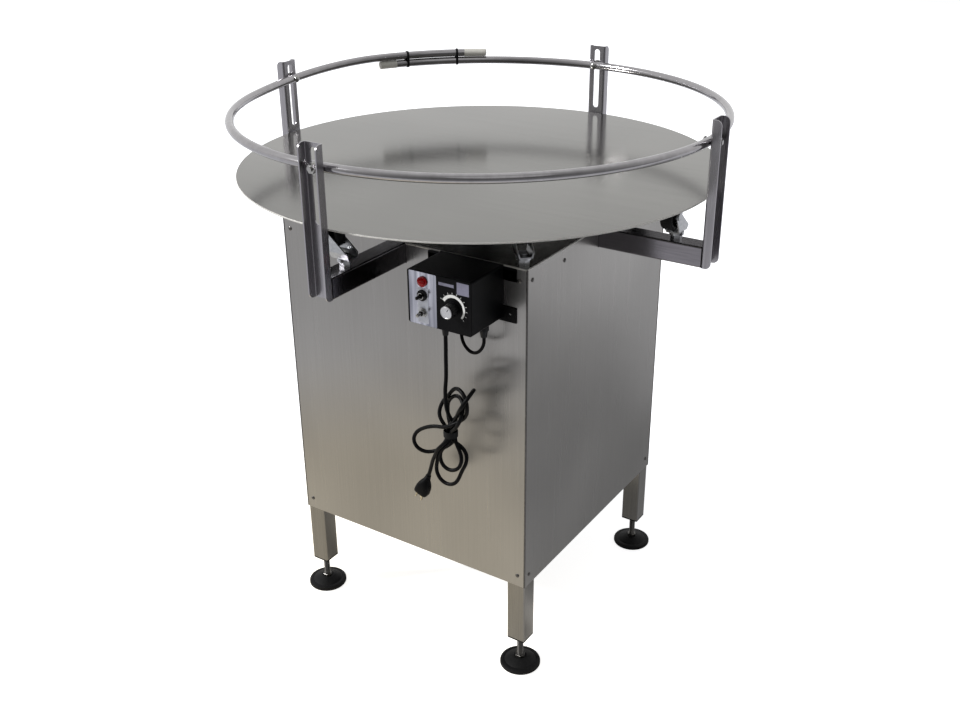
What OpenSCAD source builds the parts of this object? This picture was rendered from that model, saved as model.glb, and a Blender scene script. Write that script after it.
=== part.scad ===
// Rotary accumulation table: a stainless cabinet on levelling feet carries a powered round disc.
// Four arms hold posts with a lapped round guide rail, and eight inverted swivel casters bear the
// disc from below. Millimetres, +Z up, origin on the floor under the disc's axis. The control box
// is on the -Y face.

/* [Turntable] */
// Diameter of the disc
disc_d = 914.4; // [800:0.1:1200]
// Thickness of the disc
disc_t = 3; // [2:0.5:6]
// Diameter of the hub flange under the disc
hub_flange_d = 150; // [130:1:200]
// Thickness of the hub flange
hub_flange_t = 10; // [8:1:14]
// Diameter of the hub's boss
hub_boss_d = 64; // [56:1:80]
// Diameter of the spindle
spindle_d = 30; // [25:1:36]
// Number of studs that hold the disc on its hub
stud_count = 6; // [4:1:8]
// Diameter of the hub studs
stud_d = 8; // [6:1:10]

/* [Cabinet] */
// Width of the square cabinet over its panels
cab_w = 536; // [500:1:600]
// Height of the side panels
panel_h = 643; // [560:1:760]
// Thickness of the side panels
panel_t = 1.5; // [1:0.1:2.5]
// Depth of the folded lip along the bottom of a panel
panel_lip = 12; // [8:1:20]
// Thickness of the top plate
top_plate_t = 3; // [2:0.5:6]
// Length of leg that shows below the panels
leg_show = 130; // [80:1:200]
// Height of the leg ends above the floor
foot_h = 71; // [60:1:100]
// Height of the panel screws from the panel's edges
screw_edge = 23; // [18:1:28]
// Distance of the corner screws from the sides of the face
screw_in = 16; // [14:0.5:20]
// Distance of the side panels' extra screws from the middle of the face
screw_mid = 143.5; // [100:0.5:180]
// Diameter of the panel screws
screw_d = 4; // [3:0.5:5]

/* [Frame tube] */
// Width of the square tube
tube_w = 38.1; // [34:0.1:42]
// Wall of the square tube
tube_t = 2; // [1.5:0.1:3]
// Outer corner radius of the square tube
tube_r = 3; // [2.5:0.1:4]

/* [Feet] */
// Diameter of the levelling pads
pad_d = 80; // [60:1:100]
// Height of the pad's rim
pad_rim_h = 9; // [6:1:12]
// Height of the pad at its neck
pad_h = 17; // [14:1:22]
// Diameter of the foot's threaded stem
foot_stem_d = 12.7; // [10:0.1:16]
// Length of stem inside the leg
foot_stem_in = 60; // [50:1:90]
// Thickness of the leg end plug's flange
plug_flange_t = 3; // [2:0.5:5]
// Depth of the leg end plug inside the leg
plug_in = 25; // [15:1:40]

/* [Posts and guide rail] */
// Gap between the disc's edge and the posts
post_gap = 9.8; // [6:0.1:20]
// Width of a post's web
post_w = 38; // [32:0.5:46]
// Depth of a post's flanges
post_d = 18; // [16:0.5:26]
// Thickness of the post's sheet
post_t = 2.5; // [1.5:0.1:3]
// Outer bend radius of the post's sheet
post_bend_r = 4; // [3.5:0.1:6]
// Radius of the flanges' free corners
post_corner_r = 10; // [6:0.5:12]
// Height of the posts above the top of the arms
post_rise = 221.4; // [200:0.1:280]
// Length of the slot in a post
slot_len = 126; // [90:1:130]
// Width of the slot in a post
slot_w = 13; // [10:0.5:16]
// Distance from the post's top to the slot
slot_end = 7; // [5:0.5:12]
// Diameter of the guide rail
rail_d = 16; // [12:0.5:20]
// Height of the guide rail's centre above the disc
rail_rise = 102; // [60:1:104]
// Plan angle of the rail's lower end
lap_low = 151; // [140:1:160]
// Angle over which the rail's two ends lap
lap_a = 29; // [20:1:40]
// Angle over which the rail climbs on to its other end
ramp_a = 47; // [30:1:60]
// Diameter of the rail bolts
bolt_d = 8; // [6:1:8]
// Width across flats of the rail bolts' nuts
nut_af = 14; // [12:0.5:16]

/* [Casters] */
// Diameter of the caster wheels
wheel_d = 50; // [40:1:60]
// Width of the caster wheels
wheel_w = 22; // [18:0.5:26]
// Offset of the wheel's axle from the swivel axis
trail = 28; // [22:0.5:28]
// Distance of the arm casters' swivel axis from the disc's edge
caster_inset = 46.2; // [40:0.1:80]
// Width across flats of the caster's hexagon base
caster_af = 18; // [14:0.5:20]
// Height of the hexagon base
caster_base_h = 9; // [6:0.5:12]
// Height of the swivel race
race_h = 5.7; // [4:0.1:8]
// Thickness of the fork's sheet
fork_t = 2.2; // [1.5:0.1:3]
// Space between the fork's crown and the wheel
wheel_clear = 8.5; // [7:0.5:14]
// Diameter of the king pin
pin_d = 10; // [8:0.5:11]
// Diameter of the wheel's axle
axle_d = 8; // [6:0.5:9]
// Diameter of the caster's threaded stem
caster_stem_d = 12; // [10:0.5:12]

/* [Control box] */
// Distance of the box from the cabinet's right edge
box_in = 46.5; // [44:0.5:52]
// Width of the box
box_w = 128; // [120:1:140]
// Height of the box
box_h = 96; // [90:1:110]
// Depth of the housing
box_d = 95.5; // [85:0.5:110]
// Wall of the housing
box_t = 2.5; // [2:0.1:4]
// Thickness of the front plates
plate_t = 1.5; // [1:0.1:2]
// Width of the switch plate
switch_w = 55; // [50:1:60]
// Thickness of the wall bracket
bracket_t = 2; // [1.5:0.1:3]
// Width of the wall bracket's ears
ear_w = 26; // [20:1:26]
// Diameter of the speed knob
knob_d = 24; // [18:0.5:28]
// Length of the speed knob
knob_l = 20; // [14:0.5:26]
// Diameter of the knob's shaft
knob_shaft_d = 6; // [5:0.5:7]
// Diameter of the pilot lamp's lens
lamp_d = 14; // [10:0.5:15]

/* [Cords] */
// Diameter of the power cord
cord_d = 7; // [5:0.5:8]
// Diameter of the motor cable
cable_d = 6; // [5:0.5:7]

/* [Clearances] */
// Running gap between pieces that move past each other
run_gap = 0.3; // [0.2:0.05:0.5]
// Radial clearance of a shaft in its bore
bore_gap = 0.05; // [0.02:0.01:0.09]
// Gap round a piece that passes through a sheet
pass_gap = 0.3; // [0.2:0.1:1]

/* [Hidden] */
$fn = 48;

// Heights from the floor up
panel_z = foot_h + leg_show;
cab_top = panel_z + panel_h;
crown_z = caster_base_h + race_h + run_gap;
axle_z = crown_z + fork_t + wheel_clear + wheel_d / 2;
disc_z = cab_top + axle_z + wheel_d / 2 + run_gap;
disc_top = disc_z + disc_t;
rail_z = disc_top + rail_rise;
arm_z = cab_top - tube_w;
post_top = cab_top + post_rise;

// Plan positions
cab_in = cab_w / 2 - panel_t;
leg_c = cab_in - tube_w / 2;
post_r = disc_d / 2 + post_gap;
rail_r = post_r - run_gap - rail_d / 2;
caster_r = disc_d / 2 - caster_inset;

// The cabinet's inner frame
plate_z = cab_top - top_plate_t;
tube_in = tube_w - 2 * tube_t;
rail_top_c = plate_z - tube_w / 2;
rail_low_c = panel_z + panel_t + tube_w / 2;
screw_side = cab_w / 2 - screw_in;
screw_low = panel_z + screw_edge;
screw_high = cab_top - screw_edge;
head_d = 2 * screw_d;
head_h = 0.55 * screw_d;

// Drive: bearing on the top plate, worm gearbox and motor hung below it
bearing_flange_d = 112;
bearing_flange_t = 14;
bearing_boss_d = 66;
hub_boss_h = 36;
bearing_top = disc_z - hub_flange_t - hub_boss_h;
hub_boss_z = bearing_top + run_gap;
spindle_top = disc_z - 2;
hanger_h = 40;
hanger_d = 16;
hanger_plate_t = 8;
hanger_span = 62;
hanger_edge = 15;
hanger_hole_gap = 17;
gear_top = plate_z - hanger_h - hanger_plate_t;
gear_h = 120;
gear_z = gear_top - gear_h;
gear_x = 55;
gear_y = [-60, 92];
worm_y = 50;
worm_z = gear_z + gear_h / 2;
spindle_low = gear_z - 4;
stud_ring = (hub_flange_d + hub_boss_d) / 4;
motor_d = 104;
motor_l = 150;
motor_flange_d = 118;
motor_flange_t = 12;

// Foot: the stem's round foot sits in a socket of the pad
socket_d = 20;
socket_z = 5;
socket_gap = 0.1;
pad_edge_r = 3;
pad_neck_d = 27;
stem_foot_h = 9;
stem_nut_af = 17;
stem_nut_h = 8;

// Caster fork and wheel
wheel_gap = 0.4;
hub_w = wheel_w + 2;
fork_in = hub_w / 2 + wheel_gap;
fork_out = fork_in + fork_t;
crown_r = 18;
crown_half = fork_out - 3;
boss_r = 9;
rivet_d = 14;
rivet_h = 2.6;
race_d = 26;
pin_head_d = 16;
pin_head_h = 3;
stem_nut_t = 8;

// Guide rail: the angle runs clockwise from the lower end, round the table and on to the lap
turn_a = 360 + lap_a;
lap_rise = rail_d + 0.6;
rail_rings = 96;
rail_sides = 14;
tie_w = 5;
tie_t = 1.6;
tie_place = [0.26, 0.74];
end_cap_l = 6;
washer_d = 20;
washer_t = 2;
nut_h = 7;
bolt_end = 3;
bolt_head_d = 1.75 * bolt_d;
bolt_head_h = 0.55 * bolt_d;

// Control box front, with the box's own middle and the cabinet's top as its references
box_x = cab_w / 2 - box_in - box_w / 2;
box_back = -cab_w / 2 - bracket_t;
box_front = box_back - box_d;
plate_front = box_front - plate_t;
box_z = cab_top - box_h;
box_r = 4;
plate_edge = 4.5;
plate_seam = 0.5;
switch_x = box_x - box_w / 2 + plate_edge + switch_w / 2;
dial_w = box_w - plate_edge - switch_w - 2 * plate_seam;
dial_x = box_x + box_w / 2 - plate_seam - dial_w / 2;
lamp_drop = 17;
lamp_z = cab_top - lamp_drop;
toggle_drop = 41;
toggle_pitch = 31;
toggle_z = [cab_top - toggle_drop, cab_top - toggle_drop - toggle_pitch];
knob_side = 1.25;
knob_drop = 52;
knob_x = dial_x - knob_side;
knob_z = cab_top - knob_drop;
ear_up_drop = 7;
ear_up_h = 19;
ear_up = [cab_top - ear_up_drop - ear_up_h, cab_top - ear_up_drop];
ear_low_drop = 5;
ear_low_h = 28;
ear_low = [box_z - ear_low_drop, box_z - ear_low_drop + ear_low_h];
lamp_bezel_d = lamp_d + 4;
lamp_bezel_h = 3;
toggle_nut_af = 15;
toggle_nut_t = 2.5;
toggle_bush_d = 11.5;
toggle_bush_l = 7;
toggle_ball_d = 6.5;
toggle_bore_d = toggle_ball_d + 5 * run_gap;
toggle_pin_d = 3;
toggle_pin_l = 2 * sqrt(pow(toggle_bore_d / 2 - bore_gap, 2) - pow(toggle_pin_d / 2, 2));
toggle_mouth_d = 9.2;
toggle_d = 5;
toggle_tip_d = 6.4;
toggle_l = 15;
pivot_l = 1.5;
pivot_y = plate_front - pivot_l;

// Glands, cords and their routes. A route is a hand-picked list of points, given from the hole in
// the box's floor where its cord comes out
cord_side = 25;
cord_in = 25.5;
cord_exit = [switch_x + cord_side, box_front + cord_in, box_z];
relief_l = 22;
relief_d = 15;
cable_side = 16.5;
cable_in = 35;
cable_exit = [box_x + box_w / 2 - cable_side, box_back - cable_in, box_z];
gland_l = 26;
gland_d = 18;
grommet_side = 65;
grommet_drop = 31;
grommet_d = 18;
grommet_hole_d = 12;
grommet_t = 3;
grommet = [cable_exit[0] - grommet_side, box_z - grommet_drop];
cord_sides = 10;
hank_side = 5.5;
hank_back = 2;
hank_drop = 222;
hank_c = cord_exit + [hank_side, hank_back, -hank_drop];
hank_w = 62;
hank_h = 186;
hank_t = 40;
hank_touch = 0.3;
loop_side = hank_side - hank_w / 2 - hank_touch;
function route_from(exit, points) = [for (p = points) exit + p];
drop_route = route_from(cord_exit, [[0, 0, -relief_l], [0, 0, -36], [0, 0, -54], [0, 0, -72],
    [0.5, 0, -90], [1.5, 1, -108], [3.5, 2, hank_h / 2 - hank_drop + hank_touch]]);
loop_route = route_from(cord_exit, [[loop_side, -6, -201], [-33, -6, -201], [-43, -6, -208.5],
    [-52.5, -6, -216.5], [-61, -6, -225.5], [-67.5, -6, -237], [-68.5, -5, -250], [-62.5, -2, -261],
    [-51.5, 4, -266], [-42, 7, -265], [-33, 9, -261], [loop_side, 9, -261]]);
tail_route = route_from(cord_exit, [[-16.5, 2, -236], [-22, 1, -251], [-26.5, 0, -264],
    [-31.5, 1, -276.5], [-36, 2, -289], [-40.8, 2, -302], [-46.2, 2, -314.5]]);
plug_tilt = 23;
plug_neck_l = 16;
plug_body = [31, 22, 30];
cable_route = route_from(cable_exit, [[0, 0, -gland_l], [0, 0, -37], [-4, 0, -48], [-13, 0, -58],
    [-26, 2, -62], [-39, 5, -58], [-49, 9, -50], [-56, 15, -41], [-61, 22, -35],
    [-64, 30, -32], [-grommet_side, cable_in + bracket_t + 2, -grommet_drop],
    [-grommet_side, cable_in + bracket_t + 8, -grommet_drop]]);
spline_steps = 2;

// Names of the repeated nodes
CASTERS = [1 : 8];
FEET = [1 : 4];

// Colours
STEEL = "#a3a19b";
BRIGHT = "#c9c9c6";
ZINC = "#b8b9ba";
BLACK = "#1c1c1e";
RUBBER = "#232324";
DRIVE = "#4f5a63";

// Shared shapes

// A rectangle with round corners, centred
module round_square(w, d, r) {
    square([w - 2 * r, d], center = true);
    square([w, d - 2 * r], center = true);
    for (x = [-1, 1], y = [-1, 1])
        translate([x * (w / 2 - r), y * (d / 2 - r)]) circle(r = r);
}

// A slot shape with round ends, upright and centred
module stadium(w, h) {
    square([w, h - w], center = true);
    for (s = [-1, 1]) translate([0, s * (h - w) / 2]) circle(d = w);
}

// Section of the square tube
module tube_section() {
    difference() {
        round_square(tube_w, tube_w, tube_r);
        round_square(tube_in, tube_in, tube_r - tube_t);
    }
}

// A regular hexagon by its width across flats
module hexagon(af) {
    circle(d = af / cos(30), $fn = 6);
}

// Repeats its children on the cabinet's four faces, drawn on the -Y face
module on_faces(faces = [0 : 3]) {
    for (k = faces) rotate([0, 0, 90 * k]) children();
}

// Repeats its children at the four legs
module at_legs() {
    for (k = [0 : 3]) rotate([0, 0, 90 * k]) translate([leg_c, -leg_c, 0]) children();
}

// A cylinder along +Y from a point
module along_y(d, l) {
    rotate([-90, 0, 0]) cylinder(d = d, h = l);
}

function unit(v) = v / norm(v);

// Direction of a path at one of its points
function heading(p, i) = unit(p[min(i + 1, len(p) - 1)] - p[max(i - 1, 0)]);

// A ring of points across a path
function path_ring(p, i, r, n, ref) =
    let (t = heading(p, i), u = unit(cross(t, ref)), v = cross(t, u))
    [for (k = [0 : n - 1]) p[i] + r * (cos(360 * k / n) * u + sin(360 * k / n) * v)];

// A point on the smooth curve through four points of a route
function spline_point(a, b, c, d, t) =
    0.5 * (2 * b + (c - a) * t + (2 * a - 5 * b + 4 * c - d) * t * t
           + (3 * b - a - 3 * c + d) * t * t * t);

// A smooth path through a route's points
function smooth(p) = let (m = len(p) - 1) concat(
    [for (i = [0 : m - 1], s = [0 : spline_steps - 1])
        spline_point(p[max(i - 1, 0)], p[i], p[i + 1], p[min(i + 2, m)], s / spline_steps)],
    [p[m]]);

// A round bar of diameter d along a path; ref is a direction that the path never takes
module bar_along(p, d, n, ref) {
    m = len(p);
    points = [for (i = [0 : m - 1]) each path_ring(p, i, d / 2, n, ref)];
    sides = [for (i = [0 : m - 2], k = [0 : n - 1])
        [i * n + k, (i + 1) * n + k, (i + 1) * n + (k + 1) % n, i * n + (k + 1) % n]];
    ends = [[for (k = [0 : n - 1]) k], [for (k = [n - 1 : -1 : 0]) (m - 1) * n + k]];
    polyhedron(points, concat(sides, ends), convexity = 8);
}

// Places of the screws on a face: across the face, and height
function face_screws(k) = concat(
    [for (x = [-screw_side, screw_side], z = [screw_low, screw_high]) [x, z]],
    k % 2 == 1 ? [for (x = [-screw_mid, screw_mid]) [x, screw_high]] : []);

// Holes for all the panel screws
module screw_holes() {
    for (k = [0 : 3]) on_faces([k]) for (s = face_screws(k))
        translate([s[0], -cab_w / 2 - 1, s[1]])
            along_y(screw_d + 2 * bore_gap, panel_t + tube_t + 2);
}

// Cabinet and frame

module corner_legs() {
    color(STEEL) difference() {
        at_legs() translate([0, 0, foot_h]) linear_extrude(plate_z - foot_h) tube_section();
        screw_holes();
    }
}

module leg_end_plugs() {
    color(RUBBER) at_legs() difference() {
        translate([0, 0, foot_h - plug_flange_t]) {
            linear_extrude(plug_flange_t) round_square(tube_w, tube_w, tube_r);
            linear_extrude(plug_flange_t + plug_in)
                round_square(tube_in - 2 * bore_gap, tube_in - 2 * bore_gap, tube_r - tube_t);
        }
        cylinder(d = foot_stem_d + 2 * bore_gap, h = foot_h + plug_in + 1);
    }
}

module frame_rails() {
    span = 2 * leg_c - tube_w;
    color(STEEL) difference() {
        on_faces() for (z = [rail_low_c, rail_top_c])
            translate([-span / 2, -leg_c, z]) rotate([0, 90, 0]) linear_extrude(span) tube_section();
        screw_holes();
    }
}

module top_plate() {
    color(STEEL) difference() {
        translate([-cab_in, -cab_in, plate_z]) cube([2 * cab_in, 2 * cab_in, top_plate_t]);
        translate([0, 0, plate_z - 1]) cylinder(d = spindle_d + 10, h = top_plate_t + 2);
        at_legs() translate([0, 0, plate_z - 1])
            cylinder(d = caster_stem_d + 2 * bore_gap, h = top_plate_t + 2);
    }
}

// One sheet panel on face k, with a notch for the arm and a folded lip along its bottom
module panel(k, width) {
    lip_w = 2 * leg_c - tube_w - 2 * pass_gap;
    notch = tube_w + 2 * pass_gap;
    color(STEEL) difference() {
        on_faces([k]) difference() {
            union() {
                translate([-width / 2, -cab_w / 2, panel_z]) cube([width, panel_t, panel_h]);
                translate([-lip_w / 2, -cab_w / 2, panel_z])
                    cube([lip_w, panel_t + panel_lip, panel_t]);
            }
            translate([-notch / 2, -cab_w / 2 - 1, arm_z - pass_gap])
                cube([notch, panel_t + 2, tube_w + 1]);
        }
        screw_holes();
    }
}

module front_panel() {
    difference() {
        panel(0, cab_w);
        translate([grommet[0], -cab_w / 2 - 1, grommet[1]]) along_y(grommet_hole_d, panel_t + 2);
    }
}

module right_panel() {
    panel(1, 2 * cab_in);
}

module rear_panel() {
    panel(2, cab_w);
}

module left_panel() {
    panel(3, 2 * cab_in);
}

module cabinet_screws() {
    color(BRIGHT) for (k = [0 : 3]) on_faces([k]) for (s = face_screws(k))
        translate([s[0], -cab_w / 2, s[1]]) {
            along_y(screw_d, panel_t + tube_t);
            translate([0, -head_h, 0]) intersection() {
                along_y(head_d, head_h);
                translate([0, head_d * 0.75, 0]) sphere(d = head_d * 1.5);
            }
        }
}

// Arms, posts and guide rail

module rail_arms() {
    color(STEEL) difference() {
        on_faces() translate([0, -cab_in, cab_top - tube_w / 2]) rotate([90, 0, 0])
            linear_extrude(post_r - cab_in) tube_section();
        on_faces() translate([0, -caster_r, cab_top - tube_t - 1])
            cylinder(d = caster_stem_d + 2 * bore_gap, h = tube_t + 2);
    }
}

// Channel section of a post, its web towards the disc and its flanges pointing outwards
module post_section() {
    intersection() {
        translate([0, -post_r - post_d]) difference() {
            round_square(post_w, 2 * post_d, post_bend_r);
            round_square(post_w - 2 * post_t, 2 * (post_d - post_t), post_bend_r - post_t);
        }
        translate([-post_w / 2, -post_r - post_d]) square([post_w, post_d]);
    }
}

// Side view of a post: the flanges' free corners are round
module post_outline() {
    h = post_top - arm_z;
    translate([-post_r - post_d, arm_z]) {
        translate([post_corner_r, 0]) square([post_d - post_corner_r, h]);
        translate([0, post_corner_r]) square([post_d, h - 2 * post_corner_r]);
        for (z = [post_corner_r, h - post_corner_r]) translate([post_corner_r, z])
            circle(r = post_corner_r);
    }
}

// The long hole in which a rail bolt slides
module post_slot() {
    top = post_top - slot_end - slot_w / 2;
    low = post_top - slot_end - slot_len + slot_w / 2;
    translate([0, -post_r - post_t - 1, 0]) {
        for (z = [low, top]) translate([0, 0, z]) along_y(slot_w, post_t + 2);
        translate([-slot_w / 2, 0, low]) cube([slot_w, post_t + 2, top - low]);
    }
}

module guide_posts() {
    color(STEEL) on_faces() difference() {
        intersection() {
            translate([0, 0, arm_z]) linear_extrude(post_top - arm_z) post_section();
            rotate([90, 0, 90]) linear_extrude(post_w, center = true) post_outline();
        }
        post_slot();
    }
}

// Height of the rail's centre at a turn of s degrees from its lower end
function rail_height(s) =
    let (t = min(max((s - (360 - ramp_a)) / ramp_a, 0), 1)) rail_z + lap_rise * t * t * (3 - 2 * t);

// Point of the rail's centre line at a turn of s degrees from its lower end
function rail_point(s) =
    [rail_r * cos(lap_low - s), rail_r * sin(lap_low - s), rail_height(s)];

// Turn at which the rail passes the post on face k
function post_turn(k) = (lap_low + 90 - 90 * k + 360) % 360;

module guide_rail() {
    path = [for (i = [0 : rail_rings]) rail_point(turn_a * i / rail_rings)];
    color(BRIGHT) difference() {
        bar_along(path, rail_d, rail_sides, [0, 0, 1]);
        for (k = [0 : 3]) on_faces([k]) translate([0, -post_r, rail_height(post_turn(k))])
            along_y(bolt_d + 4 * bore_gap, 2 * rail_d);
    }
}

// Cable ties that bind the rail's lapped ends
module rail_ties() {
    color(BLACK) for (share = tie_place) {
        a = lap_low - share * lap_a;
        rotate([0, 0, a]) translate([rail_r, 0, rail_z + lap_rise / 2]) rotate([90, 0, 0])
            linear_extrude(tie_w, center = true) difference() {
                stadium(rail_d + 2 * tie_t, rail_d + lap_rise + 2 * tie_t);
                stadium(rail_d + 2 * run_gap, rail_d + lap_rise + 2 * run_gap);
            }
    }
}

// Bolts through the rail and the posts' slots, with washer and nut inside the channel
module rail_fasteners() {
    washer_y = -post_r - post_t - run_gap - washer_t;
    tip_y = washer_y - nut_h - bolt_end;
    color(ZINC) for (k = [0 : 3]) on_faces([k]) translate([0, 0, rail_height(post_turn(k))]) {
        translate([0, tip_y, 0]) along_y(bolt_d, -rail_r + rail_d / 2 + bolt_head_h / 2 - tip_y);
        translate([0, washer_y, 0]) along_y(washer_d, washer_t);
        translate([0, washer_y, 0]) rotate([90, 0, 0]) linear_extrude(nut_h) hexagon(nut_af);
        translate([0, -rail_r + rail_d / 2 + bore_gap, 0]) intersection() {
            along_y(bolt_head_d, bolt_head_h);
            translate([0, bolt_head_h - bolt_head_d * 0.75, 0]) sphere(d = bolt_head_d * 1.5);
        }
    }
}

// Domed caps on the rail's two ends
module rail_end_plugs() {
    color("#d8d6cf") for (s = [0, turn_a]) translate(rail_point(s)) {
        rotate([0, 0, lap_low - s]) rotate([s == 0 ? -90 : 90, 0, 0]) translate([0, 0, run_gap])
            intersection() {
                cylinder(d = rail_d, h = end_cap_l);
                translate([0, 0, end_cap_l - rail_d]) sphere(d = 2 * rail_d);
            }
    }
}

// Casters

// Places a caster: arm casters trail clockwise, corner casters point to the disc's axis
module caster_place(i) {
    k = (i - 1) % 4;
    if (i <= 4) rotate([0, 0, 90 * k]) translate([0, -caster_r, cab_top]) rotate([0, 0, 180])
        children();
    else rotate([0, 0, 90 * k]) translate([leg_c, -leg_c, cab_top]) rotate([0, 0, 135])
        children();
}

// Fixed half of the casters: hexagon base, race, king pin, stem and the nut below the sheet
module caster_stems() {
    color(ZINC) for (i = CASTERS) {
        sheet_t = i <= 4 ? tube_t : top_plate_t;
        caster_place(i) {
            linear_extrude(caster_base_h) hexagon(caster_af);
            translate([0, 0, caster_base_h]) cylinder(d = race_d, h = race_h);
            cylinder(d = pin_d, h = crown_z + fork_t + run_gap + pin_head_h);
            translate([0, 0, crown_z + fork_t + run_gap]) cylinder(d = pin_head_d, h = pin_head_h);
            translate([0, 0, -sheet_t - stem_nut_t]) {
                cylinder(d = caster_stem_d, h = sheet_t + stem_nut_t);
                linear_extrude(stem_nut_t) hexagon(caster_af);
            }
        }
    }
}

// Folded section of the fork, seen along the trail: a narrow crown that flares to the wheel
module fork_section() {
    top = axle_z + boss_r + 1;
    flare = crown_z + fork_t + wheel_clear;
    difference() {
        polygon([[-crown_half, crown_z], [crown_half, crown_z], [fork_out, flare], [fork_out, top],
            [-fork_out, top], [-fork_out, flare]]);
        polygon([[-crown_half + fork_t, crown_z + fork_t], [crown_half - fork_t, crown_z + fork_t],
            [fork_in, flare], [fork_in, top + 1], [-fork_in, top + 1], [-fork_in, flare]]);
    }
}

// Where a line from p touches a circle
function touch_point(p, c, r, side) =
    let (d = c - p, l = norm(d), a = atan2(d[1], d[0]) + side * asin(r / l))
    p + sqrt(l * l - r * r) * [cos(a), sin(a)];

// Side view of the fork: the crown's disc swept up to the axle's eye
module fork_outline() {
    eye = [trail, axle_z];
    heel = [-crown_r, crown_z + wheel_clear];
    toe = [crown_r, crown_z];
    polygon([[-crown_r, crown_z], toe, touch_point(toe, eye, boss_r, -1), eye,
        touch_point(heel, eye, boss_r, 1), heel]);
    translate(eye) circle(r = boss_r);
}

// A fork with its riveted axle
module caster_fork(i) {
    color(ZINC) caster_place(i) difference() {
        union() {
            intersection() {
                translate([-crown_r, 0, 0]) rotate([90, 0, 90])
                    linear_extrude(crown_r + trail + boss_r) fork_section();
                rotate([90, 0, 0]) linear_extrude(2 * fork_out, center = true) fork_outline();
            }
            translate([trail, 0, axle_z]) rotate([90, 0, 0]) {
                cylinder(d = axle_d, h = 2 * fork_out, center = true);
                for (s = [-1, 1]) translate([0, 0, s * (fork_out + rivet_h / 2)])
                    cylinder(d = rivet_d, h = rivet_h, center = true);
            }
        }
        translate([0, 0, crown_z - 1]) cylinder(d = pin_d + 2 * bore_gap, h = fork_t + 2);
    }
}

// Half section of a wheel: tread, web and hub
module wheel_section() {
    tread = 8;
    tread_r = 4;
    web_t = 10;
    hub_r = axle_d / 2 + 4;
    bore_r = axle_d / 2 + bore_gap;
    translate([wheel_d / 2 - tread / 2, 0]) round_square(tread, wheel_w, tread_r - 0.5);
    translate([bore_r, -web_t / 2]) square([wheel_d / 2 - tread + 1 - bore_r, web_t]);
    translate([bore_r, -hub_w / 2]) square([hub_r - bore_r, hub_w]);
}

module caster_wheel(i) {
    color(RUBBER) caster_place(i) translate([trail, 0, axle_z]) rotate([90, 0, 0])
        rotate_extrude() wheel_section();
}

// Feet

module foot(i) {
    rotate([0, 0, 90 * (i - 1)]) translate([leg_c, -leg_c, 0]) {
        color(RUBBER) rotate_extrude() difference() {
            union() {
                square([pad_d / 2 - pad_edge_r, pad_rim_h]);
                square([pad_d / 2, pad_rim_h - pad_edge_r]);
                translate([pad_d / 2 - pad_edge_r, pad_rim_h - pad_edge_r]) circle(r = pad_edge_r);
                polygon([[0, 0], [pad_d / 2 - pad_edge_r, 0], [pad_d / 2 - pad_edge_r, pad_rim_h],
                    [pad_neck_d / 2, pad_h], [0, pad_h]]);
            }
            translate([0, socket_z]) square([socket_d / 2, pad_h]);
        }
        color(ZINC) translate([0, 0, socket_z + socket_gap]) {
            cylinder(d = socket_d - 2 * socket_gap, h = stem_foot_h);
            cylinder(d = foot_stem_d, h = foot_h + foot_stem_in - socket_z - socket_gap);
            translate([0, 0, stem_foot_h]) linear_extrude(stem_nut_h) hexagon(stem_nut_af);
        }
    }
}

// Turntable and its drive

module turntable_disc() {
    color(STEEL) translate([0, 0, disc_z]) cylinder(d = disc_d, h = disc_t, $fn = 180);
}

module drive_hub() {
    color(ZINC) difference() {
        union() {
            translate([0, 0, disc_z - hub_flange_t]) cylinder(d = hub_flange_d, h = hub_flange_t);
            translate([0, 0, hub_boss_z]) cylinder(d = hub_boss_d, h = disc_z - hub_boss_z);
        }
        translate([0, 0, hub_boss_z - 1])
            cylinder(d = spindle_d + 2 * bore_gap, h = spindle_top - hub_boss_z + 1);
        for (n = [1 : stud_count]) rotate([0, 0, 360 * n / stud_count])
            translate([stud_ring, 0, disc_z - hub_flange_t - 1])
                cylinder(d = stud_d + 2 * bore_gap, h = hub_flange_t + 2);
    }
}

module spindle() {
    color(BRIGHT) translate([0, 0, spindle_low]) cylinder(d = spindle_d, h = spindle_top - spindle_low);
}

// Studs welded under the disc, each with its nut below the hub flange
module hub_studs() {
    stud_nut_h = 0.8 * stud_d;
    color(ZINC) for (n = [1 : stud_count]) rotate([0, 0, 360 * n / stud_count])
        translate([stud_ring, 0, disc_z - hub_flange_t]) {
            translate([0, 0, -stud_nut_h - 2]) cylinder(d = stud_d, h = hub_flange_t + stud_nut_h + 2);
            translate([0, 0, -stud_nut_h]) linear_extrude(stud_nut_h) hexagon(1.6 * stud_d);
        }
}

module spindle_bearing() {
    color(DRIVE) difference() {
        translate([0, 0, cab_top]) {
            cylinder(d = bearing_flange_d, h = bearing_flange_t);
            cylinder(d1 = bearing_boss_d + 12, d2 = bearing_boss_d, h = bearing_top - cab_top);
        }
        translate([0, 0, cab_top - 1])
            cylinder(d = spindle_d + 2 * bore_gap, h = bearing_top - cab_top + 2);
    }
}

// Plate on four hangers below the top plate, to which the gearbox is bolted
module motor_bracket() {
    bracket_w = 2 * (hanger_span + hanger_edge);
    color(ZINC) difference() {
        union() {
            translate([0, 0, gear_top + hanger_plate_t / 2])
                cube([bracket_w, bracket_w, hanger_plate_t], center = true);
            for (x = [-1, 1], y = [-1, 1]) translate([x * hanger_span, y * hanger_span, gear_top])
                cylinder(d = hanger_d, h = plate_z - gear_top);
        }
        translate([0, 0, gear_top - 1]) cylinder(d = spindle_d + 2 * hanger_hole_gap, h = hanger_plate_t + 2);
    }
}

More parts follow.
